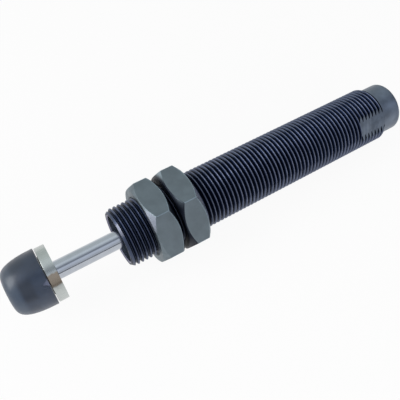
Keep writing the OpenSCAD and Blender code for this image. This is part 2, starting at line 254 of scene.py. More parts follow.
def begin():
    """Leaves edit mode and selects nothing."""
    if bpy.context.mode != "OBJECT":
        bpy.ops.object.mode_set(mode="OBJECT")
    bpy.ops.object.select_all(action="DESELECT")


def take(piece):
    """Makes a piece the only selected and active one."""
    begin()
    piece.select_set(True)
    bpy.context.view_layer.objects.active = piece


def edit(piece):
    """Opens a piece in edit mode with its whole mesh selected."""
    take(piece)
    bpy.ops.object.mode_set(mode="EDIT")
    bpy.ops.mesh.select_all(action="SELECT")


def primitive(name, kind, **values):
    """A new primitive mesh, alone in the selection and with its place in its mesh."""
    begin()
    getattr(bpy.ops.mesh, f"primitive_{kind}_add")(**values)
    piece = bpy.context.object
    piece.name = piece.data.name = name
    bpy.ops.object.transform_apply(location=True, rotation=True, scale=True)
    return piece


def modify(piece, kind, **values):
    """Adds a modifier with its settings and applies it."""
    take(piece)
    bpy.ops.object.modifier_add(type=kind)
    modifier = piece.modifiers[-1]
    for key, value in values.items():
        setattr(modifier, key, value)
    bpy.ops.object.modifier_apply(modifier=modifier.name)
    return piece


def arc(x, r, radius, start, end, steps=6):
    """Points (x, radius) of an arc about (x, r), from start to end in degrees from +X."""
    turns = [math.radians(start + (end - start) * i / steps) for i in range(steps + 1)]
    return [(x + radius * math.cos(t), r + radius * math.sin(t)) for t in turns]


def stepped(radius, *steps):
    """Points of an outline that starts at a radius and steps to a new one at each (x, radius)."""
    outline = []
    for x, new in steps:
        outline += [(x, radius), (x, new)]
        radius = new
    return outline


def mirrored(points, start, end):
    """Points and their mirror images about the middle between start and end."""
    return points + [(start + end - x, r) for x, r in reversed(points)]


def draw_line(name, points):
    """A line of edges above the axis through (x, radius) points, left in edit mode."""
    piece = primitive(name, "plane", size=MM)
    bpy.ops.object.mode_set(mode="EDIT")
    bpy.ops.mesh.merge(type="CENTER")
    x, r = points[0]
    bpy.ops.transform.translate(value=(x, 0, r))
    for next_x, next_r in points[1:]:
        step = (next_x - x, 0, next_r - r)
        bpy.ops.mesh.extrude_region_move(TRANSFORM_OT_translate={"value": step})
        x, r = next_x, next_r
    return piece


def close_up():
    """Welds doubles, turns the faces of the mesh in edit mode outwards and leaves edit mode."""
    bpy.ops.mesh.select_all(action="SELECT")
    bpy.ops.mesh.remove_doubles(threshold=WELD)
    bpy.ops.mesh.dissolve_degenerate(threshold=SLIVER)
    bpy.ops.mesh.select_all(action="SELECT")
    bpy.ops.mesh.normals_make_consistent(inside=False)
    bpy.ops.object.mode_set(mode="OBJECT")


def turned(name, outline, steps=96):
    """A solid turned about X from (x, radius) points, closed on the axis or on itself."""
    on_axis = outline[0][1] == 0 and outline[-1][1] == 0
    piece = draw_line(name, outline if on_axis else outline + outline[:1])
    bpy.ops.mesh.select_all(action="SELECT")
    bpy.ops.mesh.spin(steps=steps, angle=FULL_TURN, center=(0, 0, 0), axis=(1, 0, 0))
    close_up()
    return piece


def combine(piece, tool, operation):
    """Cuts with or keeps the overlap with a second mesh, which is used up."""
    modify(piece, "BOOLEAN", operation=operation, solver="MANIFOLD", object=tool)
    bpy.data.meshes.remove(tool.data)
    return piece


def soften(piece, width, segments=2, sharper_than=30, material=-1):
    """Rounds every edge that is sharper than an angle in degrees."""
    limit = math.radians(sharper_than)
    values = {"limit_method": "ANGLE", "angle_limit": limit, "material": material}
    return modify(piece, "BEVEL", width=width, segments=segments, **values)


def heal(piece):
    """Welds the points that a cut leaves side by side and clears edges from flat faces."""
    edit(piece)
    bpy.ops.mesh.remove_doubles(threshold=2 * WELD)
    bpy.ops.mesh.dissolve_limited(angle_limit=math.radians(0.05))
    bpy.ops.object.mode_set(mode="OBJECT")


def slice_end(x, keep_side):
    """Cuts the mesh in edit mode square at x and caps it, keeping what lies towards keep_side."""
    bpy.ops.mesh.select_all(action="SELECT")
    bpy.ops.mesh.bisect(
        plane_co=(x, 0, 0),
        plane_no=(1, 0, 0),
        use_fill=True,
        threshold=SLIVER,
        clear_inner=keep_side > 0,
        clear_outer=keep_side < 0,
    )


def threaded_bar(name, start, end, crest, root, thread, pitch=None, steps=None):
    """A bar with a right-hand thread from start to end, between its crest and root radius."""
    pitch = pitch or thread.pitch
    steps = steps or thread.steps
    root_round = thread.root_round * pitch
    edge = thread.crest_edge * pitch
    slope = math.tan(math.radians(30))
    bottom = arc(0, root + root_round, root_round, -90, -30, steps=2)
    flank_x, flank_r = bottom[-1]
    crest_x = flank_x + (crest - flank_r) * slope
    rise = bottom + [(crest_x - edge * slope, crest - edge), (crest_x + edge, crest)]
    first = math.floor((start - thread.crest_place) / pitch) - 1.5
    offset = thread.crest_place + first * pitch
    turns = math.ceil((end - offset) / pitch) + 2
    piece = draw_line(name, [(offset + x, r) for x, r in mirrored(rise, 0, pitch)])
    screw = {"screw_offset": pitch, "steps": steps, "render_steps": steps, "iterations": turns}
    modify(piece, "SCREW", axis="X", **screw)
    edit(piece)
    bpy.ops.mesh.remove_doubles(threshold=WELD)
    slice_end(start, 1)
    slice_end(end, -1)
    close_up()
    return piece


def thread_root(thread):
    """Radius at the bottom of the body's thread."""
    return thread.major_radius - thread.depth * thread.pitch


def hexagon(name, start, end, across):
    """A six-sided bar along X, with corners towards +Y and -Y."""
    return primitive(
        name,
        "cylinder",
        vertices=6,
        radius=across / 2 / math.cos(math.pi / 6),
        depth=end - start,
        location=((start + end) / 2, 0, 0),
        rotation=(0, math.pi / 2, 0),
    )


def box(name, low, high, turn=0):
    """A box between two corners, turned about X."""
    low, high = Vector(low), Vector(high)
    piece = primitive(name, "cube", size=1, location=(low + high) / 2, scale=high - low)
    piece.data.transform(Matrix.Rotation(turn, 4, "X"))
    return piece


def settle(piece, body, materials, node, smooth=28):
    """Checks that a piece is closed, finishes it, and sets it on its body for a CAD node."""
    shape = bmesh.new()
    shape.from_mesh(piece.data)
    open_edges = sum(not e.is_manifold for e in shape.edges)
    volume = shape.calc_volume(signed=True)
    shape.free()
    if open_edges or volume <= 0:
        raise RuntimeError(f"{piece.name} isn't a closed solid: {open_edges} open edges, {volume}")
    take(piece)
    bpy.ops.object.shade_smooth_by_angle(angle=math.radians(smooth))
    marks = [face.material_index for face in piece.data.polygons]
    piece.data.materials.clear()
    for material in materials:
        piece.data.materials.append(material)
    piece.data.polygons.foreach_set("material_index", marks)
    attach(piece, body)
    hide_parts(node)


# Materials

WHITE = (1, 1, 1, 1)
# Limits between which noise goes from its first to its second value
BLOTCHES = (0.3, 0.7)
# How far noise moves the border of a patch, as a cosine
WANDER = 0.04


def shade(tint, scale):
    """A colour made darker or lighter."""
    return [c * scale for c in tint]


def rgba(tint, scale=1.0):
    """A colour scaled and given alpha."""
    return (*(min(1.0, c * scale) for c in tint), 1.0)


class Nodes:
    """A node tree under way."""

    def __init__(self, owner, empty=False):
        owner.use_nodes = True
        self.tree = owner.node_tree
        if empty:
            self.tree.nodes.clear()

    def fill(self, node, inputs):
        """Gives a node's inputs their values, or links them where the value is a socket."""
        for key, value in inputs.items():
            if isinstance(value, bpy.types.NodeSocket):
                self.tree.links.new(value, node.inputs[key])
            else:
                node.inputs[key].default_value = value

    def add(self, kind, inputs=None, **values):
        """Adds a node with its settings and inputs."""
        node = self.tree.nodes.new(f"ShaderNode{kind}")
        for key, value in values.items():
            setattr(node, key, value)
        self.fill(node, inputs or {})
        return node

    def math(self, operation, *values):
        """A Math node's result."""
        return self.add("Math", dict(enumerate(values)), operation=operation).outputs[0]

    def spread(self, value, low, high, to_low=0.0, to_high=1.0):
        """Maps low to high onto another range, with smooth ends."""
        limits = {"From Min": low, "From Max": high, "To Min": to_low, "To Max": to_high}
        inputs = {"Value": value, **limits}
        return self.add("MapRange", inputs, interpolation_type="SMOOTHSTEP").outputs[0]

    def blend(self, factor, first, second):
        """Mixes two colours."""
        return self.add("Mix", {0: factor, 6: first, 7: second}, data_type="RGBA").outputs[2]

    def mix(self, factor, first, second):
        """Mixes two shaders."""
        return self.add("MixShader", {0: factor, 1: first, 2: second}).outputs[0]

    def glow(self, kind, tint, strength=1.0):
        """A shader that gives light of its own."""
        return self.add(kind, {"Color": tint, "Strength": strength}).outputs[0]

    def seen(self):
        """Light Path's outputs, and 1 for rays from the camera, a mirror or glass."""
        path = self.add("LightPath").outputs
        direct = self.math("MAXIMUM", path["Is Camera Ray"], path["Is Glossy Ray"])
        return path, self.math("MAXIMUM", direct, path["Is Transmission Ray"])


class Surface(Nodes):
    """A material under way: its shader, coordinates, place along X and radius about it."""

    def __init__(self, name, metallic=1.0, specular=0.5):
        self.material = bpy.data.materials.new(name)
        super().__init__(self.material)
        self.shader = self.tree.nodes["Principled BSDF"]
        self.fill(self.shader, {"Metallic": metallic, "Specular IOR Level": specular})
        self.place = self.add("TexCoord").outputs["Object"]
        across = {0: self.place, 1: (0, 1, 1)}
        flat = self.add("VectorMath", across, operation="MULTIPLY").outputs[0]
        self.radius = self.add("VectorMath", {0: flat}, operation="LENGTH").outputs["Value"]
        self.x = self.add("SeparateXYZ", {0: self.place}).outputs[0]

    def noise(self, scale, detail=3.0):
        """Noise of about one spot in 1 / scale metres."""
        inputs = {"Vector": self.place, "Scale": scale, "Detail": detail, "Roughness": 0.55}
        return self.add("TexNoise", inputs).outputs[0]

    def mottled(self, tint, scale, variation, limits=BLOTCHES, detail=3.0):
        """A tint that varies to both sides in blotches of about 1 / scale metres."""
        blotches = self.spread(self.noise(scale, detail), *limits)
        return self.blend(blotches, rgba(tint, 1 - variation), rgba(tint, 1 + variation))

    def side(self, degrees, edge, middle):
        """A patch on the side that looks a number of degrees from +Z towards +Y.

        It begins at one cosine from that side and is full at another."""
        turn = math.radians(degrees)
        toward = {0: self.place, 1: (0, math.sin(turn), math.cos(turn))}
        reach = self.add("VectorMath", toward, operation="DOT_PRODUCT").outputs["Value"]
        share = self.math("DIVIDE", reach, self.radius)
        border = self.math("MULTIPLY_ADD", self.noise(500), WANDER, share)
        return self.spread(border, edge + WANDER / 2, middle + WANDER / 2)

    def machining(self, spacing):
        """Fine irregular rings of a lathe on rims and faces, by their spacing in millimetres."""
        along = self.math("ADD", self.x, self.radius)
        scale = 1 / (spacing * MM)
        inputs = {"W": along, "Scale": scale, "Detail": 2.0, "Roughness": 0.6}
        return self.add("TexNoise", inputs, noise_dimensions="1D").outputs[0]

    def finish(self, tone, rough, scale, *bumps):
        """Links the colour, roughness and bumps to the shader, and gives the material.

        The roughness wanders between two values in spots of about 1 / scale metres.
        A bump is a height socket with its depth in millimetres."""
        roughness = self.spread(self.noise(scale), *BLOTCHES, *rough)
        below = {}
        for height, depth in bumps:
            inputs = {"Height": height, "Distance": depth * MM, "Strength": 1.0, **below}
            below = {"Normal": self.add("Bump", inputs).outputs[0]}
        self.fill(self.shader, {"Base Color": tone, "Roughness": roughness, **below})
        return self.material


def steel(
    name,
    tint,
    rough=(0.3, 0.42),
    lines=0.12,
    line_depth=0.002,
    variation=0.12,
    metallic=1.0,
    highlight_fan=None,
):
    """Machined metal: blotches of colour, wandering roughness, tool lines and fine grain.

    Lines are so many millimetres apart and deep. A highlight fan is a painted highlight, a brighter
    patch where turned faces catch the light: its side in degrees, its limits as cosines, and its
    colour."""
    s = Surface(name, metallic)
    tone = s.mottled(tint, 220, variation)
    # Painted highlight: a brighter fan on one side
    if highlight_fan:
        *patch, light = highlight_fan
        tone = s.blend(s.side(*patch), tone, rgba(light))
    grain = (s.noise(9000), 0.001)
    return s.finish(tone, rough, 900, (s.machining(lines), line_depth), grain)


def thread_finish():
    """Black oxide with rubbed crests, painted highlights on the crests and at the groove bottoms,
    painted shade deep in the grooves and painted reflections on the flanks.
    """
    thread, colours = settings().shock_thread, settings().shock_colours
    s = Surface("thread_oxide")
    crest, root = thread.major_radius, thread_root(thread)
    depth = thread.depth * thread.pitch
    nuts_start, nuts_end = span("rear_nut")[0], span("front_nut")[1]

    def within(low, high, *values):
        """Goes from one value to another between two heights, as shares of the groove's depth."""
        return s.spread(s.radius, root + low * depth, root + high * depth, *values)

    wear = s.math("MULTIPLY", s.noise(700), 0.14 * depth)
    height = s.math("SUBTRACT", s.radius, wear)
    # Crests lighter: partly rubbed oxide, partly a painted highlight
    sheen_share = s.spread(height, crest - 0.34 * depth, crest - 0.06 * depth)
    # The crests' lighter band is weaker in front of the nuts than behind them
    crest_fade_forward = s.spread(s.x, nuts_start, nuts_end, 1.0, 0.45)
    light = s.mottled(colours.crest, 260, 0.2)
    # Painted reflection and shade: flanks lighter away from the side 33 degrees from +Z towards +Y,
    # darker on it
    painted_flank_light = s.blend(s.side(33, 0.6, 0.72), rgba(colours.flank, 1.8), rgba(colours.valley, 3))
    # Painted shade: the lower part of each groove is near black
    groove = s.blend(within(0.3, 0.7), rgba(colours.valley), painted_flank_light)
    # Painted highlight: a lighter line at the groove bottoms in front of the nuts
    bottom = within(0.02, 0.2, 1.0, 0.0)
    front = s.spread(s.x, nuts_end - WELD, nuts_end + WELD)
    groove = s.blend(s.math("MULTIPLY", bottom, front), groove, rgba(colours.flank, 0.8))
    tone = s.blend(s.math("MULTIPLY", sheen_share, crest_fade_forward), groove, light)
    return s.finish(tone, (0.45, 0.58), 1200, (s.noise(6000), 0.002))


def cap_finish():
    """Moulded urethane: a satin skin with a faint grain and soft sinks, a painted shade patch on
    one side and a painted sheen on the rounded front.
    """
    s = Surface("moulded_urethane", 0.0, 0.7)
    colours = settings().shock_colours
    start, end, _ = span("impact_cap")
    tone = s.mottled(colours.cap, 160, 0.15, (0.35, 0.65), 4)
    middle = start + 0.52 * (end - start)
    reach = s.math("ABSOLUTE", s.math("SUBTRACT", s.x, middle))
    along = s.spread(reach, 1 * MM, 3 * MM, 1.0, 0.0)
    # Painted shade: a darker patch on the side 45 degrees from +Z towards +Y, round the cap's
    # middle
    painted_shade_patch = s.math("MULTIPLY", along, s.side(45, 0.88, 0.98))
    tone = s.blend(painted_shade_patch, tone, rgba(colours.cap, 0.55))
    # Painted sheen: the rounded front is lighter
    sheen_share = s.spread(s.x, end - 4.6 * MM, end - 2.8 * MM)
    tone = s.blend(sheen_share, tone, rgba(colours.cap_sheen))
    sinks = (s.noise(130, 1), 0.12)
    return s.finish(tone, (0.35, 0.43), 350, sinks, (s.noise(5000), 0.004))


def button_finish():
    """Satin nickel on turned steel, with a painted brown reflection on one side of the rim."""
    colours = settings().shock_colours
    s = Surface("satin_nickel")
    base = s.mottled(colours.button, 180, 0.08)
    # Painted reflection: a brown patch on one side of the rim
    tone = s.blend(s.side(47.5, 0.968, 0.985), base, rgba(colours.brown_reflection))
    return s.finish(tone, (0.22, 0.3), 500, (s.machining(0.1), 0.002))


def chrome_finish():
    """Ground and polished hard chrome."""
    s = Surface("hard_chrome")
    tone = s.mottled(settings().shock_colours.rod, 300, 0.04)
    return s.finish(tone, (0.1, 0.16), 600, (s.machining(0.08), 0.0001))


def rubber(name, tint, rough=(0.5, 0.65), grain=0.006):
    """Seal rubber: matte and finely grained."""
    s = Surface(name, 0.0)
    return s.finish(s.mottled(tint, 400, 0.2), rough, 900, (s.noise(4000), grain))


def foam_finish():
    """Closed-cell foam: darker cells in a paler skin."""
    s = Surface("closed_cell_foam", 0.0)
    tint = settings().shock_colours.foam
    cells = s.add("TexVoronoi", {"Vector": s.place, "Scale": 2500.0}).outputs["Distance"]
    tone = s.blend(s.spread(cells, 0.1, 0.6), rgba(tint, 0.55), rgba(tint, 1.25))
    return s.finish(tone, (0.75, 0.9), 900, (cells, 0.05))


# Operators


class SHOCK_OT_threaded_body(Operator):
    """Turns the hollow body, mills its flats and cuts its thread"""

    bl_idname = "shock.threaded_body"
    bl_label = "Threaded body"

    # Places of the materials in the body's slots
    THREAD, PLAIN, RIM, CHAMFER = range(4)
    # Length and depth of the lead into the mouth
    LEAD = 0.35 * MM

    def execute(self, context):
        thread, body = context.scene.shock_thread, context.scene.shock_body
        blank = self.blank(thread, body)
        wide = thread.major_radius
        for turn in (-body.flats_turn, math.pi - body.flats_turn):
            low = (body.plain_length, -wide, body.flats_width / 2)
            high = (body.plain_length + body.flats_length, wide, 2 * wide)
            combine(blank, box("mill", low, high, turn), "DIFFERENCE")
        margin = thread.pitch / 2
        end = span("outer_tube")[1] + margin
        piece = threaded_bar("threaded_body", -margin, end, wide, thread_root(thread), thread)
        combine(piece, blank, "INTERSECT")
        self.mark_faces(piece, thread, body)
        finishes = self.finishes(context.scene.shock_colours)
        settle(piece, "body", finishes, "outer_tube", smooth=32)
        return {"FINISHED"}

    def blank(self, thread, body):
        """The turned body before its thread is cut."""
        x_end = span("outer_tube")[1]
        over = thread.major_radius + FIT
        plain, edge = body.plain_radius, body.plain_edge
        ring_start, ring_end, ring_radius = span("retaining_ring")
        holder_start, _, holder_radius = span("seal_holder")
        tube_start, _, tube_radius = span("pressure_tube")
        mouth = holder_radius + FIT
        hole = body.oil_hole_radius
        fill = span("fill_screw")[2] + FIT
        cone_end = tube_start - body.oil_hole_length
        bores = stepped(
            mouth,
            (ring_end + FIT, ring_radius + FIT),
            (ring_start, mouth),
            (holder_start, span("tube_head")[2] + FIT),
            (tube_start + body.seat_depth, tube_radius + FIT),
            (tube_start, hole),
        )
        outline = [
            (WELD, fill),
            *arc(edge + WELD, plain - edge, edge, 180, 90),
            (edge + FIT, plain),
            (body.plain_length - 2 * FIT, plain),
            (body.plain_length, plain),
            (body.plain_length + over - plain, over),
            (x_end - body.rim_length, over),
            (x_end, thread.major_radius - body.rim_chamfer),
            (x_end, mouth + self.LEAD),
            (x_end - self.LEAD, mouth),
            *bores,
            (cone_end, hole),
            (cone_end - fill + hole, fill),
        ]
        return turned("body_blank", outline, steps=thread.steps * 2)

    def mark_faces(self, piece, thread, body):
        """Marks the turned and milled faces, the front rim with its lead, and its chamfer."""
        flat = Vector((0, math.sin(body.flats_turn), math.cos(body.flats_turn)))
        x_end = span("outer_tube")[1]
        lead_x = x_end - self.LEAD - WELD
        lead_radius = span("seal_holder")[2] + self.LEAD
        slope = (body.rim_chamfer + FIT) / body.rim_length
        root = thread_root(thread) - WELD
        for face in piece.data.polygons:
            x, radius = face.center.x, math.hypot(face.center.y, face.center.z)
            milled = abs(abs(face.normal.dot(flat)) - 1) < 1e-4
            cone = thread.major_radius - body.rim_chamfer + (x_end - x) * slope
            if abs(radius - cone) < 10 * WELD and face.normal.x > FACING:
                face.material_index = self.CHAMFER
            elif x > lead_x:
                # The lead into the mouth takes the painted highlight ring
                face.material_index = self.RIM if radius < lead_radius else self.THREAD
            elif milled or radius < root:
                face.material_index = self.PLAIN
            else:
                face.material_index = self.THREAD

    def finishes(self, colours):
        """The body's materials in the order of their places."""
        plain = steel("turned_oxide", colours.plain, (0.34, 0.46), 0.2, variation=0.18)
        # Painted highlight: the lead into the mouth is a lighter ring, lighter still in a fan on
        # one side
        highlight_fan = (15, 0.95, 0.99, shade(colours.rim, 2))
        rim = steel("painted_highlight_rim", colours.rim, (0.3, 0.4), 0.1, highlight_fan=highlight_fan)
        # Painted highlight: a lighter fan on one side of the rim's chamfer
        highlight_fan = (20, 0.955, 0.99, (0.15, 0.16, 0.205))
        tint = shade(colours.flank, 1.5)
        chamfer = steel("rim_chamfer", tint, (0.36, 0.46), 0.1, highlight_fan=highlight_fan)
        return [thread_finish(), plain, rim, chamfer]


class SHOCK_OT_lock_nuts(Operator):
    """Builds both chamfered lock nuts with their tapped bores"""

    bl_idname = "shock.lock_nuts"
    bl_label = "Lock nuts"

    # Places of the materials in the nuts' slots
    SATIN, WORN, OUTSIDE, HELD = range(4)
    # Share of the thread's depth that the bores are tapped to
    TAPPED = 0.88
    # An edge whose normal has this much of +X looks forwards
    FORWARDS = 0.1

    def execute(self, context):
        finishes = self.finishes(context.scene.shock_colours)
        for node, held in (("front_nut", -1), ("rear_nut", 1)):
            piece = self.nut(f"{node[:-4]}_lock_nut", node, context.scene)
            self.mark_faces(piece, held, span(node)[2] - context.scene.shock_nut.chamfer_edge)
            settle(piece, node, finishes, node, smooth=8)
        return {"FINISHED"}

    def nut(self, name, node, scene):
        """A lock nut where its CAD node is."""
        thread, sizes = scene.shock_thread, scene.shock_nut
        start, end, half = span(node)
        piece = hexagon(name, start, end, 2 * half)
        # A bevel marks its faces with a second material only where there is a slot for it
        piece.data.materials.append(None)
        piece.data.materials.append(None)
        bpy.ops.object.mode_set(mode="EDIT")
        shape = bmesh.from_edit_mesh(piece.data)
        for edge in shape.edges:
            edge.select = abs((edge.verts[0].co - edge.verts[1].co).x) > WELD
        bmesh.update_edit_mesh(piece.data)
        corner = sizes.corner_edge
        # The broken corners take the edge wear and painted highlight
        bpy.ops.mesh.bevel(offset=corner, segments=2, affect="EDGES", material=self.WORN)
        bpy.ops.object.mode_set(mode="OBJECT")
        face = half - sizes.face_step
        outer = half / math.cos(math.pi / 6) + MM
        rise = (outer - face) * math.tan(sizes.chamfer_angle)
        rim = [(start, 0), (start, face), (start + rise, outer)]
        combine(piece, turned("nut_chamfers", mirrored(rim, start, end), FINE), "INTERSECT")
        heal(piece)
        soften(piece, sizes.chamfer_edge, 2, 20, self.WORN)
        crest = thread.major_radius + thread.clearance
        root = crest - thread.depth * thread.pitch * self.TAPPED
        tap = threaded_bar("tap", start - thread.pitch, end + thread.pitch, crest, root, thread)
        combine(piece, tap, "DIFFERENCE")
        sink = crest + sizes.countersink
        narrow = root - 4 * FIT
        cone = [(start - MM, 0), (start - MM, sink + MM), (start + sink - narrow, narrow)]
        return combine(piece, turned("sink", mirrored(cone, start, end), FINE), "DIFFERENCE")

    def mark_faces(self, piece, held, rim):
        """Marks the end faces, and gives broken edges that look forwards, in place of their edge
        wear and painted highlight, the satin finish on the front nut and the painted shade between
        the nuts on the rear nut.

        held is the side along X that faces the other nut, and rim the radius where edges begin."""
        for face in piece.data.polygons:
            x = face.normal.x
            radius = math.hypot(face.center.y, face.center.z)
            edge = face.material_index == self.WORN and radius > rim
            if edge and x > self.FORWARDS:
                # Painted shade between the nuts on the rear nut's forward edges
                face.material_index = self.HELD if held > 0 else self.SATIN
            elif not edge and abs(x) > FACING:
                face.material_index = self.HELD if x * held > 0 else self.OUTSIDE
            elif not edge:
                face.material_index = self.SATIN

    def finishes(self, colours):
        """The nuts' materials in the order of their places."""
        tint = colours.nut
        satin = steel("nut_oxide", tint, (0.36, 0.48), 0.25, 0.0015, 0.08, 0.75)
        # Edge wear and painted highlight: the broken edges are lighter
        wear_and_highlight = steel("nut_edge_wear_and_highlight", shade(tint, 1.9), (0.6, 0.7))
        # Painted highlight: a lighter fan on one side of the outer chamfers
        highlight_fan = (30, 0.93, 0.99, (0.36, 0.39, 0.46))
        outside = steel("turned_nut_face", shade(tint, 1.05), (0.42, 0.52), highlight_fan=highlight_fan)
        return [satin, wear_and_highlight, outside, self.shaded_face(tint)]

    def shaded_face(self, tint):
        """The faces that the nuts turn to each other: painted shade between the nuts, with a
        painted highlight on their corners on one side.
        """
        s = Surface("shaded_nut_face", 0.7)
        half = span("front_nut")[2]
        corners = s.spread(s.radius, half, half + 1.2 * MM)
        pale = s.math("MULTIPLY", corners, s.side(-50, 0, 0.8))
        # Painted shade between the nuts, and a painted highlight on the corners towards the -50
        # degree side
        tone = s.blend(pale, rgba((0.007, 0.011, 0.022)), rgba(tint, 1.8))
        return s.finish(tone, (0.4, 0.5), 900, (s.machining(0.15), 0.002))


class SHOCK_OT_piston_rod(Operator):
    """Turns the piston rod with its tail and its end inside the button"""

    bl_idname = "shock.piston_rod"
    bl_label = "Piston rod"

    # Break of the rod's edges
    EDGE = 0.15 * MM

    def execute(self, context):
        sizes = context.scene.shock_rod
        start, end, radius = span("piston_rod")
        outline = stepped(
            0,
            (start, sizes.tail_radius),
            (span("piston_head")[1], radius),
            (span("impact_button")[0], sizes.end_radius),
            (end, 0),
        )
        piece = soften(turned("chromed_rod", outline, FINE), self.EDGE)
        settle(piece, "rod", [chrome_finish()], "piston_rod")
        return {"FINISHED"}


class SHOCK_OT_impact_button(Operator):
    """Turns the steel button with its flange, snap groove and boss"""

    bl_idname = "shock.impact_button"
    bl_label = "Impact button"

    def execute(self, context):
        sizes = context.scene.shock_rod
        start, end, flange = span("impact_button")
        outline = stepped(
            0,
            (span("piston_rod")[1] + FIT, sizes.end_radius + FIT),
            (start, flange),
            (start + sizes.flange_thickness, sizes.boss_radius - sizes.boss_groove),
            (end - sizes.boss_length, sizes.boss_radius),
            (end, 0),
        )
        piece = soften(turned("impact_button_turned", outline, FINE), sizes.flange_edge)
        settle(piece, "rod", [button_finish()], "impact_button")
        # The polished rod would mirror the flange as a dark collar
        piece.visible_glossy = False
        return {"FINISHED"}


class SHOCK_OT_impact_cap(Operator):
    """Moulds the impact cap with its rounded front and the nick in its rear edge"""

    bl_idname = "shock.impact_cap"
    bl_label = "Impact cap"

    # Powers of the squared-off oval: of the place along it and of what is left of the radius
    OVAL = (1.86, 0.165)

    def execute(self, context):
        sizes, rod = context.scene.shock_cap, context.scene.shock_rod
        start, _, radius = span("impact_cap")
        _, boss_end, _ = span("impact_button")
        neck = rod.boss_radius - rod.boss_groove + FIT
        boss_start = boss_end - rod.boss_length - FIT
        edge = sizes.rear_edge
        outline = [
            *stepped(0, (boss_end, rod.boss_radius + FIT), (boss_start, neck)),
            (start, neck),
            *arc(start + edge, radius - edge, edge, 180, 90, 4),
            *self.front(sizes),
        ]
        piece = turned("moulded_cap", outline, FINE)
        combine(piece, self.nick(sizes, start, radius), "DIFFERENCE")
        bared = rubber("bared_urethane", (0.09, 0.105, 0.165), (0.3, 0.4))
        settle(piece, "rod", [cap_finish(), bared], "impact_cap", smooth=20)
        return {"FINISHED"}

    def front(self, sizes, steps=24):
        """The rounded front, a squared-off oval from its shoulder to its tip."""
        _, end, radius = span("impact_cap")
        narrow = radius - sizes.draft
        along, left = self.OVAL
        reach = sizes.round_length
        x = end - WELD - reach
        places = [math.sin(math.pi / 2 * i / steps) for i in range(steps)]
        return [*((x + reach * t, narrow * (1 - t**along) ** left) for t in places), (x + reach, 0)]

    def nick(self, sizes, start, radius):
        """A wedge whose point looks forwards, turned to its place."""
        wedge = primitive("nick", "cylinder", vertices=3, radius=1, depth=2 * MM)
        deep = radius - sizes.nick_depth
        for vertex in wedge.data.vertices:
            front = vertex.co.y > 0.5
            side = 0 if front else math.copysign(sizes.nick_width / 2, vertex.co.x)
            x = start + sizes.nick_length if front else start - 6 * FIT
            vertex.co = (x, side, deep if vertex.co.z < 0 else deep + 2 * MM)
        bpy.ops.object.mode_set(mode="EDIT")
        close_up()
        wedge.data.transform(Matrix.Rotation(-sizes.nick_turn, 4, "X"))
        for face in wedge.data.polygons:
            face.material_index = 1
        return wedge


class SHOCK_OT_mouth_parts(Operator):
    """Builds the collar, the rod scraper and the retaining ring in the body's mouth"""

    bl_idname = "shock.mouth_parts"
    bl_label = "Mouth parts"

    # Breaks of the edges
    COLLAR_EDGE, SCRAPER_EDGE, RING_EDGE = 0.15 * MM, 0.04 * MM, 0.12 * MM
    # How far the retaining ring stands into the mouth, and the width of its opening
    RING_STEP, RING_GAP = 1.2 * MM, 5 * MM

    def execute(self, context):
        colours = context.scene.shock_colours
        dark = steel("blackened_steel", shade(colours.plain, 0.35), (0.32, 0.44), 0.15)
        self.collar(dark)
        self.scraper(rubber("scraper_rubber", colours.rubber))
        self.retaining_ring(steel("phosphated_steel", shade(colours.plain, 0.4), (0.4, 0.5)))
        return {"FINISHED"}

    def collar(self, material):
        start, end, radius = span("front_collar")
        pocket_start, _, pocket = span("rod_scraper")
        bore = span("piston_rod")[2] + 6 * FIT
        outline = stepped(bore, (start, radius), (end, pocket + FIT), (pocket_start, bore))
        piece = soften(turned("front_collar_turned", outline), self.COLLAR_EDGE)
        settle(piece, "body", [material], "front_collar")

    def scraper(self, material):
        start, end, radius = span("rod_scraper")
        lip = span("piston_rod")[2] + FIT
        back = lip + 6 * FIT
        third = (end - start) / 3
        outline = [
            *stepped(back, (start, radius), (end, (radius + lip) / 2)),
            (end - third, back),
            (end, lip + 2 * FIT),
            (end, lip),
            (end - 1.5 * third, lip),
        ]
        piece = soften(turned("rod_scraper_ring", outline), self.SCRAPER_EDGE)
        settle(piece, "body", [material], "rod_scraper")

    def retaining_ring(self, material):
        start, end, radius = span("retaining_ring")
        inner = span("seal_holder")[2] + FIT - self.RING_STEP
        piece = turned("retaining_ring_sprung", stepped(inner, (start, radius), (end, inner)))
        side = self.RING_GAP / 2
        opening = box("gap", (start - MM, -side, -2 * radius), (end + MM, side, 0))
        soften(combine(piece, opening, "DIFFERENCE"), self.RING_EDGE)
        settle(piece, "body", [material], "retaining_ring")


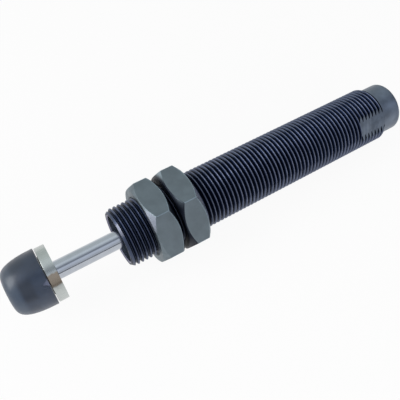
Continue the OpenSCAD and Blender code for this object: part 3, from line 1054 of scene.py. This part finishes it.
class SHOCK_OT_set_screw(Operator):
    """Cuts the threaded set screw of the oil filling, with its hexagon socket"""

    bl_idname = "shock.set_screw"
    bl_label = "Set screw"

    PITCH = 0.8 * MM
    STEPS = 48
    # The socket's width, and its depth as a share of the screw's length
    SOCKET, SOCKET_DEPTH = 2.5 * MM, 0.6
    # Depth of the socket's lead, and what its two radii add to half the socket's width
    LEAD_DEPTH, LEAD_RADII = 0.3 * MM, (1.15 * MM, -0.15 * MM)

    def execute(self, context):
        thread, pitch = context.scene.shock_thread, self.PITCH
        start, end, radius = span("fill_screw")
        root = radius - thread.depth * pitch
        name, low, high = "fill_set_screw", start - pitch, end + pitch
        piece = threaded_bar(name, low, high, radius, root, thread, pitch, self.STEPS)
        cone_end = start + thread.depth * pitch + FIT
        half = [(start, 0), (start, root), (cone_end, radius + FIT)]
        combine(piece, turned("screw_blank", mirrored(half, start, end)), "INTERSECT")
        depth = self.SOCKET_DEPTH * (end - start)
        combine(piece, hexagon("socket", start - MM, start + depth, self.SOCKET), "DIFFERENCE")
        combine(piece, self.lead(start), "DIFFERENCE")
        tint = shade(context.scene.shock_colours.plain, 0.6)
        settle(piece, "body", [steel("blackened_screw", tint)], "fill_screw")
        return {"FINISHED"}

    def lead(self, start):
        """The cone that breaks the socket's edge."""
        wide, narrow = (self.SOCKET / 2 + more for more in self.LEAD_RADII)
        bottom = start + self.LEAD_DEPTH
        outline = [(start - MM, 0), (start - MM, wide), (bottom, narrow), (bottom, 0)]
        return turned("socket_lead", outline, self.STEPS)


class SHOCK_OT_return_spring(Operator):
    """Winds the return spring with its closed and ground ends"""

    bl_idname = "shock.return_spring"
    bl_label = "Return spring"

    # Steps in one turn of the wire
    STEPS = 36
    # Distance from the pressure tube's rear end to the spring's seat
    SEAT = 2.5 * MM

    def execute(self, context):
        sizes = context.scene.shock_spring
        start, end, _ = span("return_spring")
        low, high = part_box("return_spring")
        radius = (high.y - low.y) / 2 - sizes.wire / 2
        ground = sizes.wire / 4
        piece = self.coil(start, end, radius, sizes)
        bpy.ops.object.mode_set(mode="EDIT")
        slice_end(start + ground, 1)
        slice_end(end - ground, -1)
        close_up()
        piece.data.transform(self.stretch(start, end, ground))
        wire = steel("spring_wire", context.scene.shock_colours.inner_steel, (0.25, 0.35), 0.3)
        settle(piece, "body", [wire], "return_spring")
        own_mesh(piece)
        return {"FINISHED"}

    def coil(self, start, end, radius, sizes):
        """The wire as a mesh, wound right-handed about X."""
        begin()
        bpy.ops.curve.primitive_nurbs_path_add()
        path = bpy.context.object
        path.name = path.data.name = "return_coil"
        curve = path.data
        curve.splines.clear()
        spline = curve.splines.new("POLY")
        spline.points.add(self.STEPS * sizes.turns)
        for i, point in enumerate(spline.points):
            turn = FULL_TURN * i / self.STEPS
            x = self.rise(i / self.STEPS, end - start, sizes)
            point.co = (start + x, radius * math.cos(turn), radius * math.sin(turn), 1)
        curve.bevel_depth = sizes.wire / 2
        curve.bevel_resolution = 3
        curve.use_fill_caps = True
        take(path)
        bpy.ops.object.convert(target="MESH")
        bpy.ops.object.mode_set(mode="EDIT")
        close_up()
        return bpy.context.object

    def rise(self, turn, reach, sizes):
        """Distance of the wire's centre from the spring's start after some turns.

        The first and the last turn are closed."""
        wire = sizes.wire
        shut = wire + FIT
        pitch = (reach - wire - 2 * shut) / (sizes.turns - 2)
        if turn < 1:
            return wire / 2 + shut * turn
        if turn > sizes.turns - 1:
            return reach - wire / 2 - shut * (sizes.turns - turn)
        return wire / 2 + shut + pitch * (turn - 1)

    def stretch(self, start, end, ground):
        """Takes the ground ends back to the spring's whole length."""
        scale = (end - start) / (end - start - 2 * ground)
        move = Matrix.Translation(((start + end) / 2, 0, 0))
        return move @ Matrix.Scale(scale, 4, (1, 0, 0)) @ move.inverted()


class SHOCK_OT_spring_guide(Operator):
    """Turns the loose guide between the piston and the spring, just clear of the piston"""

    bl_idname = "shock.spring_guide"
    bl_label = "Spring guide"

    def execute(self, context):
        start, end, radius = span("spring_guide")
        _, spring_end, spring_radius = span("return_spring")
        bore = context.scene.shock_rod.tail_radius + FIT
        spigot = spring_radius - context.scene.shock_spring.wire - 6 * FIT
        outline = stepped(bore, (start, spigot), (spring_end + FIT, radius), (end - FIT, bore))
        piece = soften(turned("spring_guide_turned", outline), FIT)
        tint = shade(context.scene.shock_colours.inner_steel, 1.1)
        material = steel("guide_steel", tint, (0.3, 0.4))
        settle(piece, "spring_seat", [material], "spring_guide")
        return {"FINISHED"}


class SHOCK_OT_foam_sleeve(Operator):
    """Forms the closed-cell foam sleeve of the oil reservoir"""

    bl_idname = "shock.foam_sleeve"
    bl_label = "Foam sleeve"

    RINGS = 24
    EDGE = 0.5 * MM
    # Width and depth of the cells in the skin
    CELL, CELL_DEPTH = 1.2 * MM, 0.12 * MM

    def execute(self, context):
        start, end, radius = span("accumulator_foam")
        inner = span("rod_bearing")[2] + 2 * FIT
        places = [start + (end - start) * i / self.RINGS for i in range(self.RINGS + 1)]
        outline = [(x, radius) for x in places] + [(x, inner) for x in reversed(places)]
        piece = soften(turned("foam_sleeve", outline), self.EDGE, 3, 60)
        cells = bpy.data.textures.new("foam_cells", "CLOUDS")
        cells.noise_scale = self.CELL
        skin = {"texture": cells, "texture_coords": "LOCAL", "mid_level": 1.0}
        modify(piece, "DISPLACE", strength=self.CELL_DEPTH, **skin)
        settle(piece, "body", [foam_finish()], "accumulator_foam", smooth=60)
        return {"FINISHED"}


class SHOCK_OT_inner_finishes(Operator):
    """Finishes the parts inside the body that keep their CAD shape"""

    bl_idname = "shock.inner_finishes"
    bl_label = "Inner finishes"

    def execute(self, context):
        colours = context.scene.shock_colours
        inner, bronze = colours.inner_steel, colours.bronze
        finishes = {
            "pressure_tube": steel("ground_steel", inner, (0.2, 0.3), 0.06),
            "tube_head": steel("sintered_steel", shade(inner, 0.8), (0.45, 0.6), 0.4),
            "rod_bearing": steel("bearing_bronze", bronze),
            "seal_holder": steel("turned_aluminium", shade(inner, 1.3), (0.28, 0.38)),
            "holder_o_ring": rubber("o_ring_rubber", colours.rubber),
            "rod_seal": rubber("seal_polyurethane", (0.1, 0.22, 0.17), (0.35, 0.5), 0.002),
            "fill_ball": steel("polished_ball", shade(inner, 1.4), (0.08, 0.12), 1, 0.0),
            "piston_head": steel("machined_iron", shade(inner, 0.8), (0.35, 0.5), 0.2),
            "piston_ring": steel("ring_bronze", shade(bronze, 1.05), (0.28, 0.4)),
        }
        for node, material in finishes.items():
            FRAME["nodes"][node].material_slots[0].material = material
        return {"FINISHED"}


class SHOCK_OT_stage(Operator):
    """Sets the floor, the lamps, the world and the camera"""

    bl_idname = "shock.stage"
    bl_label = "Stage"

    # Degrees from overhead towards +Y, and the colour there
    PANELS = (
        (-90, (0.9, 0.93, 0.93)),
        (-80, (0.71, 0.76, 0.75)),
        (-34, (0.71, 0.76, 0.76)),
        (-22, (0.87, 0.93, 0.96)),
        (-8, (0.87, 0.93, 0.96)),
        (10, (0.5, 0.54, 0.59)),
        (16, (0.32, 0.35, 0.4)),
        (27, (0.32, 0.35, 0.4)),
        (34, (0.78, 0.83, 0.92)),
        (50, (0.78, 0.83, 0.92)),
        (62, (0.66, 0.69, 0.74)),
        (77, (0.66, 0.69, 0.74)),
        (81, (0.2, 0.21, 0.23)),
        (92, (0.2, 0.21, 0.23)),
        (94, (1, 1, 1)),
    )
    # Colour of the room behind the part, and where it ends along X as a direction
    REAR, REAR_LIMITS = (0.2, 0.22, 0.25), (-0.95, -0.75)
    # Width and place of each lamp
    LAMPS = {"key": (0.25, (0.45, -0.1, 0.245)), "side": (0.3, (0.1, 0.5, 0.12))}
    # Width of the floor in metres
    FLOOR_WIDTH = 6
    # Share of the floor that shows white, so that the rest keeps the part's shadow
    FLOOR_GLOW = 0.93

    def execute(self, context):
        scene = context.scene
        sizes = scene.shock_stage
        self.floor(scene)
        self.world(scene, sizes)
        self.lamp(scene, "key", sizes.key_power)
        self.lamp(scene, "side", sizes.side_power).visible_glossy = False
        self.camera(scene, sizes)
        scene.view_settings.view_transform = "Standard"
        return {"FINISHED"}

    def floor(self, scene):
        """A pale floor that touches the rear nut and the start of the thread."""
        nut_x, _, nut_r = span("rear_nut")
        thread_x = scene.shock_body.plain_length
        thread_r = scene.shock_thread.major_radius
        tilt = math.atan2(nut_r - thread_r, nut_x - thread_x)
        values = {"location": (nut_x, 0, -nut_r), "rotation": (0, tilt, 0)}
        plane = primitive("floor", "plane", size=self.FLOOR_WIDTH, **values)
        material = bpy.data.materials.new("pale_floor")
        n = Nodes(material, empty=True)
        _, seen = n.seen()
        matte = n.add("BsdfDiffuse", {"Color": (0.95, 0.95, 0.95, 1)}).outputs[0]
        factor = n.math("MULTIPLY", seen, self.FLOOR_GLOW)
        n.add("OutputMaterial", {0: n.mix(factor, matte, n.glow("Emission", WHITE))})
        plane.data.materials.append(material)

    def world(self, scene, sizes):
        """White where it is seen, with studio panels for what shines, and a plain fill light."""
        scene.world = bpy.data.worlds.new("studio")
        n = Nodes(scene.world, empty=True)
        path, seen = n.seen()
        white, fill = (n.glow("Background", WHITE, power) for power in (1.0, sizes.fill_light))
        panels = n.glow("Background", self.ceiling(n))
        mixed = n.mix(path["Is Glossy Ray"], n.mix(seen, fill, white), panels)
        n.add("OutputWorld", {0: mixed})

    def ceiling(self, n):
        """The room that shiny pieces mirror: pale panels over the part with dark gaps."""
        direction = n.add("TexCoord").outputs["Generated"]
        axes = n.add("SeparateXYZ", {0: direction}).outputs
        turn = n.math("ARCTAN2", axes[1], axes[2])
        ramp = n.add("ValToRGB", {0: n.math("MULTIPLY_ADD", turn, 1 / FULL_TURN, 0.5)})
        stops = ramp.color_ramp.elements
        for degrees, tint in self.PANELS:
            stops.new(0.5 + degrees / 360).color = rgba(tint)
        stops.remove(stops[0])
        stops.remove(stops[-1])
        front = n.spread(axes[0], *self.REAR_LIMITS)
        return n.blend(front, rgba(self.REAR), ramp.outputs[0])

    def lamp(self, scene, name, power):
        """A square soft lamp that faces the middle of the part."""
        light = bpy.data.lights.new(name, "AREA")
        light.energy = power
        light.size, place = self.LAMPS[name]
        lamp = bpy.data.objects.new(name, light)
        scene.collection.objects.link(lamp)
        lamp.location = place
        aim = Vector(scene.shock_stage.aim) - Vector(place)
        lamp.rotation_euler = aim.to_track_quat("-Z", "Y").to_euler()
        return lamp

    def camera(self, scene, sizes):
        """The camera, placed by its turn and height round the point it aims at."""
        flat = math.cos(sizes.elevation)
        x, y = math.sin(sizes.azimuth) * flat, -math.cos(sizes.azimuth) * flat
        back = Vector((x, y, math.sin(sizes.elevation)))
        data = bpy.data.cameras.new("camera")
        data.lens = sizes.lens
        data.clip_start = MM
        camera = bpy.data.objects.new("camera", data)
        scene.collection.objects.link(camera)
        camera.location = Vector(sizes.aim) + back * sizes.distance
        level = (-back).to_track_quat("-Z", "Y")
        camera.rotation_mode = "QUATERNION"
        camera.rotation_quaternion = level @ Quaternion((0, 0, 1), sizes.roll)
        scene.camera = camera


GROUPS = {
    "shock_thread": ThreadSizes,
    "shock_body": BodySizes,
    "shock_nut": NutSizes,
    "shock_rod": RodSizes,
    "shock_cap": CapSizes,
    "shock_spring": SpringSizes,
    "shock_colours": FinishColours,
    "shock_stage": StageSettings,
}

OPERATORS = (
    SHOCK_OT_threaded_body,
    SHOCK_OT_lock_nuts,
    SHOCK_OT_piston_rod,
    SHOCK_OT_impact_button,
    SHOCK_OT_impact_cap,
    SHOCK_OT_mouth_parts,
    SHOCK_OT_set_screw,
    SHOCK_OT_return_spring,
    SHOCK_OT_spring_guide,
    SHOCK_OT_foam_sleeve,
    SHOCK_OT_inner_finishes,
    SHOCK_OT_stage,
)


class SHOCK_PT_panel(Panel):
    """Lists the pieces and their sizes in the sidebar"""

    bl_idname = "SHOCK_PT_panel"
    bl_label = "Shock absorber"
    bl_space_type = "VIEW_3D"
    bl_region_type = "UI"
    bl_category = "Shock absorber"

    def draw(self, context):
        for operator in OPERATORS:
            self.layout.operator(operator.bl_idname)
        for name, group in GROUPS.items():
            column = self.layout.column(align=True)
            column.label(text=group.__doc__)
            for key in group.__annotations__:
                column.prop(getattr(context.scene, name), key)


def register():
    for group in GROUPS.values():
        bpy.utils.register_class(group)
    for name, group in GROUPS.items():
        setattr(bpy.types.Scene, name, PointerProperty(type=group))
    for operator in OPERATORS:
        bpy.utils.register_class(operator)
    bpy.utils.register_class(SHOCK_PT_panel)


def unregister():
    bpy.utils.unregister_class(SHOCK_PT_panel)
    for operator in reversed(OPERATORS):
        bpy.utils.unregister_class(operator)
    for name in GROUPS:
        delattr(bpy.types.Scene, name)
    for group in GROUPS.values():
        bpy.utils.unregister_class(group)


def main():
    """Registers the add-on and builds every piece."""
    register()
    for operator in OPERATORS:
        getattr(bpy.ops.shock, operator.bl_idname.split(".")[1])()


if __name__ == "__main__":
    main()
